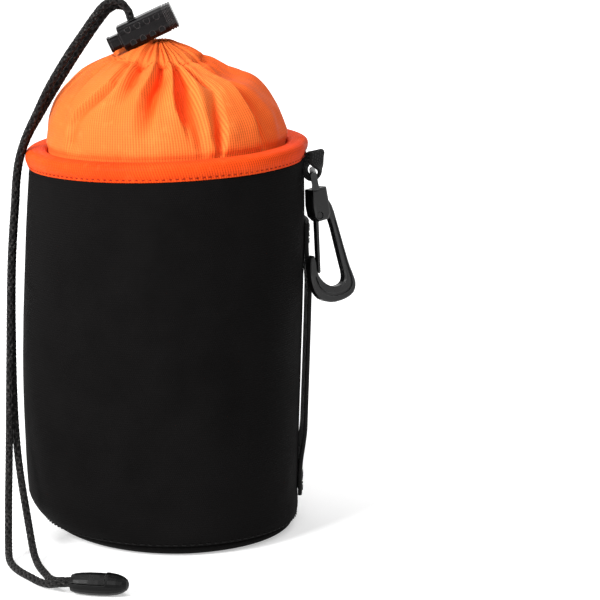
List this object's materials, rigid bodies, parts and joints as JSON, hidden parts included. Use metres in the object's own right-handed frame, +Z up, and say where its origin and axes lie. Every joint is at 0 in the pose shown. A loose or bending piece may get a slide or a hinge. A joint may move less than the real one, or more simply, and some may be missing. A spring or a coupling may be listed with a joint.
{
  "type": "lens pouch",
  "caption": "Padded cylinder pouch for a camera lens, with a gathered drawstring collar, cord lock, cord end, belt strap and a swivelling snap hook",
  "frame": {"origin": "centre of the flat underside of the base, on the floor", "axes": "+Z up along the pouch, -Y the front that the picture shows, +X to the side with the belt strap and the snap hook"},
  "size_m": [0.1348, 0.1582, 0.207],
  "materials": {
    "neoprene": "matte black jersey-faced neoprene",
    "lining": "dark grey brushed lining",
    "binding": "orange ribbed binding tape",
    "collar": "orange ribbed nylon cloth",
    "cord": "black braided cord",
    "webbing": "black woven webbing",
    "lock_plastic": "satin black moulded plastic",
    "spring_steel": "bright spring wire",
    "cord_end_plastic": "glossy black moulded plastic",
    "hook_plastic": "satin black moulded plastic"
  },
  "bodies": {
    "pouch": {"neoprene_wall": "neoprene", "base_disc": "neoprene", "wall_lining": "lining", "base_lining": "lining", "rim_binding": "binding", "gathered_collar": "collar", "drawcord": "cord", "cord_tail_left": "cord", "cord_tail_right": "cord", "belt_strap": "webbing", "hook_keeper": "webbing", "lock_barrel": "lock_plastic", "lock_spring": "spring_steel", "cord_end_body": "cord_end_plastic", "cord_end_lid": "cord_end_plastic"},
    "plunger": {"lock_plunger": "lock_plastic"},
    "eye": {"hook_eye": "hook_plastic"},
    "hook": {"hook_frame": "hook_plastic"},
    "gate": {"hook_gate": "hook_plastic"}
  },
  "joints": [
    {"name": "plunger_press", "type": "slide", "parent": "pouch", "child": "plunger", "axis": [0.9026, 0, 0.4305], "range_m": [0, 0.003], "stiffness_N_per_m": 600, "springref_m": -0.002, "deforming": ["lock_spring"]},
    {"name": "eye_swing", "type": "hinge", "parent": "pouch", "child": "eye", "pos_m": [0.05586, -0.00698, 0.1407], "axis": [0, -1, 0], "range_deg": [0, 75]},
    {"name": "hook_swivel", "type": "hinge", "parent": "eye", "child": "hook", "pos_m": [0.05691, -0.00698, 0.13479], "axis": [-0.1736, 0, 0.9848], "range_deg": [-3, 85]},
    {"name": "gate_spring", "type": "hinge", "parent": "hook", "child": "gate", "pos_m": [0.05697, -0.00798, 0.12445], "axis": [0.4924, -0.866, 0.0868], "range_deg": [0, 20], "stiffness_Nm_per_rad": 0.02, "springref_deg": -17.19}
  ]
}
